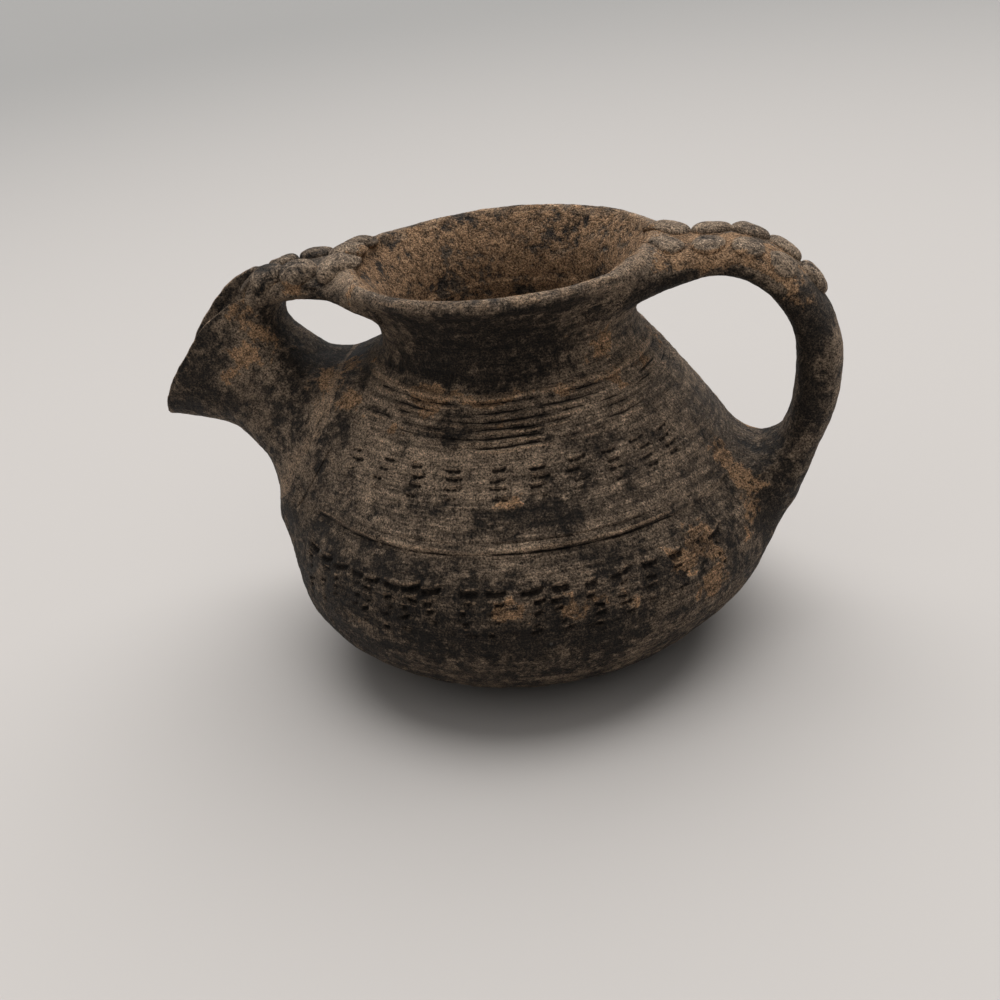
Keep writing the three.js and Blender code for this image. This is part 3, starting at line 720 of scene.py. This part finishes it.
def drawn_clay(rings, roundness):
    """Clay drawn along a path through rounded oval rings. A ring is (x, z) of its first side,
    (x, z) of its second side, its width along Y and the arch of its middle, in mm."""
    rings = np.array(rings) * mm
    centres = (rings[:, 0:2] + rings[:, 2:4]) / 2
    halves = (rings[:, 2:4] - rings[:, 0:2]) / 2
    sizes = np.stack([rings[:, 4] / 2, rings[:, 5]], axis=1)
    power = 2 / roundness

    def place(t, u, v):
        centre = drawn_through(centres, t)
        half = drawn_through(halves, t)
        size = drawn_through(sizes, t)
        reach = np.linalg.norm(half, axis=1)
        unit = half / reach[:, None]
        wide = np.sign(u) * np.abs(u) ** power * size[:, 0]
        high = np.sign(v) * np.abs(v) ** power * reach
        arch = size[:, 1] * (1 - v * v)
        return np.stack([
            centre[:, 0] + unit[:, 0] * high - unit[:, 1] * arch,
            wide,
            centre[:, 1] + unit[:, 1] * high + unit[:, 0] * arch,
        ], axis=1)

    return place


def drawn_form(place, columns, rows):
    """The drawn clay as one closed lump, its ends drawn in to a point."""
    def shape(turn, row):
        t = np.clip((row - 1) / (rows - 3), 0, 1)
        full = ((row > 0) & (row < rows - 1)).astype(float)
        return place(t, np.sin(turn) * full, np.cos(turn) * full)

    return rolled(columns, rows, shape)


def pressed_on(form, reach, low, high, on_the_rim=False):
    """Distances from clay that is pressed onto the body. On the rim it ends in the wall."""
    def distance(co):
        signed = np.full(len(co), 1.0)
        out = np.tile((0.0, 0.0, 1.0), (len(co), 1))
        near = np.all((co > np.array(low) * mm) & (co < np.array(high) * mm), axis=1)
        for i in np.nonzero(near)[0]:
            spot = Vector(co[i])
            touch, face_out, _, far = form.find_nearest(spot, 17 * mm)
            if touch is None:
                continue
            gap = spot - touch
            if abs(gap.dot(face_out)) < 0.8 * far:
                edge = form.find_nearest_range(touch, 0.25 * mm)
                face_out = sum((found[1] for found in edge), face_out)
            signed[i] = far if gap.dot(face_out) >= 0 else -far
            out[i] = gap / signed[i] if far > 1e-6 else face_out
        if on_the_rim:
            radius = from_axis(co, 1e-6)
            within = wall_middle(co[:, 2]) - radius
            ends = (within > signed) & (co[:, 2] > collar_from)
            signed[ends] = within[ends]
            out[ends] = co[ends] * (-1, -1, 0) / radius[ends, None]
        return signed, out

    distance.reach = reach
    return distance


half_wall = 2.2 * mm
collar_from = 96 * mm


def wall_middle(height):
    """The radius of the middle of the neck's wall, and of the rim's crown, at each height."""
    upper = outline[(outline[:, 1] > 90 * mm) & (outline[:, 0] > neck_foot_radius * 0.88)]
    upper = upper[:np.argmax(upper[:, 0]) + 1]
    radius = np.interp(height, upper[:, 1], upper[:, 0] - half_wall)
    return np.where(height > upper[-1, 1], lip_centre[0], radius)


hand_clay = fired_clay("hand-smoothed clay")

spout_place = drawn_clay(spout_rings, spout_roundness)
deeper_rings = [(-40.0, 34.0, -6.0, 70.0, 66.0, 0.0)] + spout_rings
spout_form_mesh = drawn_form(drawn_clay(deeper_rings, spout_roundness), 200, 200)
spout_clay = pressed_on(
    BVHTree.FromBMesh(spout_form_mesh), 12 * mm, (-128, -50, 18), (-12, 50, 134),
)
spout_form_mesh.free()

low_edge, high_edge = (
    ((-hole_middle.x + hole_slope.x * half) / mm, (hole_middle.z - hole_slope.z * half) / mm)
    for half in (pour_hole[0] / 2, -pour_hole[0] / 2)
)


def inset(ring, wall, back):
    """A ring of the channel: the spout's own ring less its wall, moved back along the spout."""
    x0, z0, x1, z1, wide, arch = ring
    along = Vector((x1 - x0, z1 - z0)).normalized()
    return (
        x0 + along.x * wall - along.y * back, z0 + along.y * wall + along.x * back,
        x1 - along.x * wall - along.y * back, z1 - along.y * wall + along.x * back,
        wide - 2 * wall, arch,
    )


channel_place = drawn_clay([
    (*low_edge, *high_edge, pour_hole[1] / mm, 0.0),
    inset(spout_rings[4], 4.5, -4.0),
    inset(spout_rings[5], 3.9, 0.0),
    inset(spout_rings[6], spout_lip, 0.0),
], spout_roundness)
spout_rows = 210
mouth_rows = 60
lip_rows = 11
channel_rows = 70
all_rows = spout_rows + lip_rows + channel_rows
x0, z0, x1, z1 = spout_rings[-1][:4]
mouth = np.array(Vector((z0 - z1, 0, x1 - x0)).normalized())


def spout_shape(turn, row):
    u, v = np.sin(turn), np.cos(turn)
    outer = spout_place(np.clip(row / (spout_rows - 1), 0, 1), u, v)
    down = np.clip((row - spout_rows - lip_rows) / (channel_rows - 1), 0, 1)
    inner = channel_place(1 - down, u, v)
    round_lip = np.clip((row - spout_rows + 1) / (lip_rows + 1), 0, 1)
    share = (1 - np.cos(round_lip * math.pi))[:, None] / 2
    bulge = np.sin(round_lip * math.pi)[:, None] * spout_lip / 2 * mm * 0.9
    place = np.where((row < spout_rows)[:, None], outer, outer * (1 - share) + inner * share)
    # the lip's far side stands out further, and its near side is worn back under the bridge
    far_side = smooth_step((u + 0.5) / 1.0)
    drawn_out = 2.4 * far_side * bell(v - 0.1, 0.75)
    drawn_out -= (1 - far_side) * (2.6 * bell(v - 0.65, 0.35) + 1.5 * bell(v + 0.1, 0.5))
    at_mouth = smooth_step((row - spout_rows + mouth_rows) / mouth_rows)
    at_mouth *= smooth_step((all_rows - 2 - row) / mouth_rows)
    bulge += (drawn_out * at_mouth * mm)[:, None]
    place = place + bulge * mouth
    last = row == all_rows
    place[last] = spout_place(np.zeros(last.sum()), u[last], v[last])
    return place


spout = to_piece(rolled(200, all_rows + 1, spout_shape), "pouring_spout", hand_clay)
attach(spout, "root")
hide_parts("pour_spout")


# Bridge: a short strap of clay that ties the top of the spout to the rim, smoothed into both,
# so that the spout doesn't sag or crack off while the jug dries.
bridge_line = [
    (-37, 114, 9.8, 52), (-48, 114.8, 8.8, 36), (-56, 114.8, 8.8, 30),
    (-64, 114, 8.8, 27), (-70.5, 111.6, 8.8, 23), (-75, 107.8, 7.6, 14),
]


def strap_rings(line):
    """Rings across a strap, from its middle line's (x, z), its thickness and its width."""
    middles = [(x, z) for x, z, _, _ in line]
    rings = []
    for i, (x, z, thick, wide) in enumerate(line):
        t = i / (len(line) - 1)
        ahead = drawn_through(middles, np.array((min(t + 1e-4, 1.0),)))[0]
        behind = drawn_through(middles, np.array((max(t - 1e-4, 0.0),)))[0]
        along = (ahead - behind) / np.linalg.norm(ahead - behind)
        half = np.array((along[1], -along[0])) * thick / 2
        rings.append((x - half[0], z - half[1], x + half[0], z + half[1], wide, 0.0))
    return rings


bridge_place = drawn_clay(strap_rings(bridge_line), strap_roundness)
deeper_line = [(-24.0, 113.0, 9.8, 56.0)] + bridge_line
bridge_form_mesh = drawn_form(drawn_clay(strap_rings(deeper_line), strap_roundness), 150, 150)
bridge_clay = pressed_on(
    BVHTree.FromBMesh(bridge_form_mesh), 7 * mm, (-94, -44, 90), (-30, 44, 134), on_the_rim=True,
)
bridge = to_piece(bridge_form_mesh, "rim_to_spout_bridge", hand_clay)
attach(bridge, "root")
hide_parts("spout_bridge")


# Handle: a thick strap pulled from a roll of clay, pressed onto the rim and the belly, with a
# loop between that takes two fingers.
handle_rings = [
    (37, 118.5, 37, 105.6, 44, 0), (48.5, 119.7, 48.5, 108, 32, 0),
    (58.6, 120.4, 58.6, 110.4, 25.5, 0), (69.1, 119.3, 66.1, 109.6, 25, 0),
    (78.8, 114.2, 72, 106.4, 24.5, 0), (86.4, 106.5, 77.2, 100.3, 23, 0),
    (92.2, 96.5, 80.5, 93.2, 23, 0), (94.6, 86, 81.4, 85, 23, 0),
    (93.9, 76, 80.7, 76, 23, 0), (91.4, 67, 79, 68, 23, 0),
    (87.5, 58.5, 75.5, 60.5, 25, 0), (84, 50, 68.5, 56.8, 31, 0),
    (79, 40, 57.5, 55, 37, 0), (71.5, 33, 51.5, 46, 40, 0),
]
handle_place = drawn_clay(handle_rings, strap_roundness)
deeper_rings = [(24.0, 117.0, 24.0, 104.0, 50.0, 0.0)] + handle_rings
deeper_rings += [(58.0, 24.0, 40.0, 38.0, 40.0, 0.0)]
handle_form_mesh = drawn_form(drawn_clay(deeper_rings, strap_roundness), 160, 420)
handle_clay = pressed_on(
    BVHTree.FromBMesh(handle_form_mesh), 9 * mm, (28, -40, 16), (112, 40, 136), on_the_rim=True,
)
handle = to_piece(handle_form_mesh, "loop_strap_handle", hand_clay)
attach(handle, "root")
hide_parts("loop_handle")


# Joints and skin: all these pieces are luted with slip and the clay is smeared over the joints,
# so that no edge is left. Then come the marks of hands, cloth and comb.
pressed = (spout_clay, bridge_clay, handle_clay)


def jug_surface(co):
    """How far points lie outside the whole smeared jug, and the way out of it."""
    total, out = outside_distance(co)
    for clay in pressed:
        signed, way = clay(co)
        share = np.clip(0.5 + 0.5 * (signed - total) / clay.reach, 0, 1)[:, None]
        meet = np.clip(1 - np.abs(signed - total) / clay.reach, 0, 1)
        total = np.minimum(total, signed) - meet ** 2 * clay.reach / 4
        out = out * share + way * (1 - share)
    return total, out


def onto_surface(co):
    """Moves points onto the smeared surface, and gives the way out of it there."""
    for _ in range(3):
        gap, out = jug_surface(co)
        co = co - out * (gap / np.maximum((out ** 2).sum(axis=1), 0.3))[:, None]
    out = jug_surface(co)[1]
    return co, out / np.linalg.norm(out, axis=1)[:, None]


def smear(piece, skin, other, base):
    """Draws a piece's skin over its joints and finishes it. Skin says where it is seen, other
    how far its neighbours are, and base where it lies once it is covered by them."""
    co = read_points(piece)
    way = read_normals(piece)
    away, out = outside_distance(co)
    way[skin & (away < 0.4 * mm)] = out[skin & (away < 0.4 * mm)]
    near = skin & (other < 14 * mm)
    spots, out = onto_surface(co[near])
    hidden = smooth_step((-other[near] - 2 * mm) / (1.6 * mm))[:, None]
    co[near] = spots * (1 - hidden) + base[near] * hidden
    way[near] = out * (1 - hidden) + way[near] * hidden
    lumps, fine = unevenness(co)
    marks = np.zeros(len(co))
    angle, height = round_the_jug(co)
    away = outside_distance(co)[0]
    smeared = smooth_step((other - 2.0 * mm) / (5 * mm))
    body_skin = skin & (away < 1.5 * mm) & (smeared > 0)
    marks[body_skin] = tooled(
        angle[body_skin], height[body_skin], from_axis(co[body_skin]) / mm,
    ) * smeared[body_skin]
    marks += fine
    moved = np.where(skin, marks + lumps, 0.0)
    moved *= smooth_step((height - 1.5) / 6)
    inside = ~skin
    moved[inside] = 0.3 * rough(co[inside], 9 * mm, 17) + 0.2 * rough(co[inside], 2.6 * mm, 19)
    moved[inside & (height < 1)] = 0
    write_points(piece, co + way * (moved * mm)[:, None])
    return np.where(skin, marks, 1.2 * moved), np.where(body_skin, smeared, 0.0)


def sunk_in(co, clay, depth):
    """Keeps what is pressed into other clay inside its wall."""
    away, out = clay(co)
    deep = away < -depth
    moved = co.copy()
    moved[deep] += out[deep] * (-away[deep] - depth)[:, None]
    return moved


def ends_in_the_wall(co):
    """Draws what would stand inside the mouth back into the wall."""
    radius = from_axis(co, 1e-6)
    keep = np.where(co[:, 2] > collar_from, wall_middle(co[:, 2]), 0)
    grow = np.maximum(keep / radius, 1)
    moved = co.copy()
    moved[:, :2] *= grow[:, None]
    return sunk_in(moved, outside_distance, half_wall)


for piece in (bowl, shoulder, neck):
    co = read_points(piece)
    skin = (outside_distance(co)[0] > -0.4 * mm) & (co[:, 2] > 0.4 * mm)
    other = np.min([clay(co)[0] for clay in pressed], axis=0)
    marks, wiped = smear(piece, skin, other, co - read_normals(piece) * 0.8 * mm)
    # the rim's crown is lighter: partly worn, partly a painted highlight
    crown = smooth_step((co[:, 2] / mm - 117.4) / 1.2) * (0.3 + 0.5 * rough(co, 5 * mm, 101.0))
    tint(piece, marks + crown, wiped=wiped)

co = read_points(spout)
own = spout_clay(co)[0]
skin = np.abs(own) < 0.3 * mm
other = np.minimum(outside_distance(co)[0], bridge_clay(co)[0])
base = sunk_in(co, outside_distance, half_wall)
spout_inside = (own < -0.3 * mm) & (outside_distance(co)[0] < -half_wall)
co[spout_inside] = base[spout_inside]
write_points(spout, co)
marks, _ = smear(spout, skin, other, base)
# the lip facing out of the mouth is lighter and less sooty: partly rubbed, partly a painted
# highlight
lip_highlight_and_wear = smooth_step((read_normals(spout) @ mouth - 0.55) / 0.3) * (other > 6 * mm)
tint(spout, marks + 0.5 * lip_highlight_and_wear, soot_and_shade=-0.2 * lip_highlight_and_wear, in_the_mouth=0.0)

co = ends_in_the_wall(read_points(bridge))
write_points(bridge, co)
other = np.minimum(outside_distance(co)[0], spout_clay(co)[0])
marks, _ = smear(bridge, np.full(len(co), True), other, sunk_in(co, spout_clay, 1.4 * mm))
tint(bridge, marks)

co = ends_in_the_wall(read_points(handle))
write_points(handle, co)
marks, _ = smear(handle, np.full(len(co), True), outside_distance(co)[0], co)
# the strap is worn earthy on top; painted shade darkens it underneath, inside the loop and on the
# loop's sides, most along its lower edge
co = read_points(handle)
way = read_normals(handle)
across, height = co[:, 0] / mm, co[:, 2] / mm
edge_across, edge_height = (37, 48.5, 58.6, 66, 72, 77), (105.6, 108, 110.4, 109.6, 106.4, 100.3)
lower_edge = np.interp(across, edge_across, edge_height)
low = (1 - smooth_step((height - lower_edge - 4) / 4)) * smooth_step((height - 92) / 6)
on_top = smooth_step((height - 105) / 5) * smooth_step((way[:, 2] + 0.15) / 0.5)
worn = on_top * (1 - 0.7 * low)
loop = smooth_step((height - 62) / 8) * (1 - smooth_step((height - 104) / 4))
# painted shade, laid on as soot: faces turned toward the jug, the loop's sides and the strap's
# lower edge
soot_and_shade = 0.3 * smooth_step((facing_in(co, way) + 0.1) / 0.5) * (height < 108)
soot_and_shade += 0.22 * loop * smooth_step(np.abs(way[:, 1]) * 2 - 0.8)
tint(handle, marks, earth=0.5 * worn, soot_and_shade=soot_and_shade + 0.14 + 0.6 * low - 0.2 * worn)


# Pellets: balls of clay as big as a fingertip, pressed side by side onto the tops of both
# straps: pairs along the handle and one on its bend, and three rows over the bridge.
pellet_clay = fired_clay("rubbed pellet clay", light=1.15, rub=0.2)
pellet_size = (10.0, 9.4, 3.5)
pellet_spread = ((0.54, 0.58), (0.53, 0.58), (0.58, 0.70))
pellet_pitch = 10.9 * mm


def along_strap(place, side):
    """Points of a strap's upper edge, to find rings by their place or distance along it."""
    t = np.linspace(0.02, 0.98, 961)
    return t, place(t, np.zeros(961), np.full(961, float(side)))


def ring_at(place, side, x):
    t, edge = along_strap(place, side)
    return t[np.argmin(np.abs(edge[:620, 0] - x * mm))]


def ring_after(place, side, start, distance):
    t, edge = along_strap(place, side)
    gone = np.concatenate([[0], np.cumsum(np.linalg.norm(np.diff(edge, axis=0), axis=1))])
    return float(np.interp(np.interp(start, t, gone) + distance, gone, t))


def strap_top(place, t, aside, side):
    """Points on top of a strap, at places t along it and aside across it."""
    half_width = place(t, np.ones(len(t)), np.zeros(len(t)))[:, 1]
    share = np.clip(aside / half_width, -0.97, 0.97)
    u = np.sign(share) * np.abs(share) ** 1.25
    return place(t, u, side * np.sqrt(1 - u * u))


def press_pellet(name, node, place, t, aside, side, scale, lift):
    bm = bmesh.new()
    bmesh.ops.create_icosphere(bm, subdivisions=4, radius=1)
    ball = np.array([v.co[:] for v in bm.verts])
    long, wide, tall = (
        size * scale * mm * random.uniform(*spread)
        for size, spread in zip(pellet_size, pellet_spread)
    )
    turn = random.uniform(-0.25, 0.25)
    x = (ball[:, 0] * math.cos(turn) - ball[:, 1] * math.sin(turn)) * long
    y = (ball[:, 0] * math.sin(turn) + ball[:, 1] * math.cos(turn)) * wide
    ahead, behind = (
        strap_top(place, np.array((t + nudge,)), np.array((aside * mm,)), side)
        for nudge in (0.005, -0.005)
    )
    step = np.linalg.norm(ahead - behind) / 0.01
    spots, out = onto_surface(strap_top(place, t + x / step, aside * mm + y, side))
    wide_of = np.minimum(from_axis(ball), 1)
    dome = (1 - wide_of ** 3.2) ** 0.5
    height = np.where(ball[:, 2] >= 0, lift * tall * dome, -0.9 * mm * dome)
    spots = spots + out * height[:, None]
    lumps, fine = unevenness(spots)
    fine = fine + 0.24 * rough(spots, 4.2 * mm, 50 + t) * dome
    spots += out * ((lumps + fine) * mm)[:, None]
    for vert, spot in zip(bm.verts, spots.tolist()):
        vert.co = spot
    bmesh.ops.recalc_face_normals(bm, faces=bm.faces)
    pellet = to_piece(bm, name, pellet_clay)
    tint(pellet, fine, earth=0.25 - 0.6 * dome)
    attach(pellet, "root")
    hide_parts(node)


# each spot is (ring along the strap, mm aside, scale, lift); the viewer's side is negative
handle_spots = []
ring = ring_at(handle_place, -1, 48.4)
for _ in range(4):
    handle_spots += [(ring, -6.8, 0.86, 0.9), (ring, 6.8, 1.0, 1.0)]
    ring = ring_after(handle_place, -1, ring, pellet_pitch)
handle_spots.append((ring, 3.4, 1.0, 1.0))

first = ring_at(bridge_place, 1, -46.8)
second = ring_after(bridge_place, 1, first, pellet_pitch)
third = ring_after(bridge_place, 1, second, pellet_pitch)
low_side = ring_after(bridge_place, 1, first, 0.6 * pellet_pitch)
bridge_spots = (
    (first, -10.44, 1.06, 1.5), (first, 0.0, 1.0, 1.2), (first, 10.44, 1.0, 1.0),
    (second, -9.0, 1.08, 1.6), (second, 9.0, 1.0, 1.0),
    (third, -6.84, 1.04, 1.6), (third, 6.84, 0.94, 1.0), (low_side, -26.0, 0.54, 1.0),
)
for name, node, place, side, spots in (
    ("strap_pellet", "handle_pellet", handle_place, -1, handle_spots),
    ("crest_pellet", "bridge_pellet", bridge_place, 1, bridge_spots),
):
    for number, (ring, aside, scale, lift) in enumerate(spots, start=1):
        press_pellet(
            f"{name}_{number}", f"{node}_{number}", place, ring, aside, side, scale, lift,
        )


# Table: a plain pale sheet that lies flat; its colour darkens a little away from the jug, a
# painted falloff of the light. Two broad lamps light it from above as a bright room does, and the
# room behind it is a soft grey.
near_shade, far_shade = (0.56, 0.53, 0.505, 1), (0.34, 0.332, 0.322, 1)
shade_from, shade_to = 0.2, 1.4
room_colour = (1.0, 0.99, 0.975, 1)
room_glow, room_seen = 0.15, 0.46

paper = bpy.data.materials.new("pale paper")
paper.use_nodes = True
nodes = paper.node_tree.nodes
distance_out = nodes.new("ShaderNodeVectorMath")
distance_out.operation = "LENGTH"
feed(distance_out, {0: nodes.new("ShaderNodeTexCoord").outputs["Object"]})
further = nodes.new("ShaderNodeMapRange")
further.interpolation_type = "SMOOTHSTEP"
feed(further, {
    "Value": distance_out.outputs["Value"], "From Min": shade_from, "From Max": shade_to,
})
shades = nodes.new("ShaderNodeMix")
shades.data_type = "RGBA"
feed(shades, {0: further.outputs["Result"], 6: near_shade, 7: far_shade})
feed(nodes["Principled BSDF"], {
    "Base Color": shades.outputs[2], "Roughness": 0.9, "Specular IOR Level": 0.2,
})
sheet_mesh = bmesh.new()
bmesh.ops.create_grid(sheet_mesh, x_segments=1, y_segments=1, size=6)
table = to_piece(sheet_mesh, "pale_table", paper)

sky = bpy.data.worlds.new("studio")
bpy.context.scene.world = sky
sky.use_nodes = True
nodes = sky.node_tree.nodes
rays = nodes.new("ShaderNodeLightPath")
seen = rays.outputs["Is Camera Ray"]
for ray in ("Is Glossy Ray", "Is Transmission Ray"):
    either = nodes.new("ShaderNodeMath")
    either.operation = "MAXIMUM"
    seen = feed(either, {0: seen, 1: rays.outputs[ray]}).outputs["Value"]
brightness = feed(nodes.new("ShaderNodeMapRange"), {
    "Value": seen, "To Min": room_glow, "To Max": room_seen,
})
feed(nodes["Background"], {"Color": room_colour, "Strength": brightness.outputs["Result"]})


def daylight(name, at, strength, spread):
    """Soft even light that falls from a place toward the jug, `spread` wide as it is seen."""
    lamp = bpy.data.lights.new(name, "SUN")
    lamp.energy = strength
    lamp.angle = spread
    holder = bpy.data.objects.new(name, lamp)
    bpy.context.scene.collection.objects.link(holder)
    holder.location = at
    holder.rotation_euler = (-Vector(at)).to_track_quat("-Z", "Y").to_euler()


daylight("overhead", (0.05, 0.95, 2.0), 3.2, math.radians(78))
daylight("room light", (0.2, -1.2, 1.9), 0.5, math.radians(60))
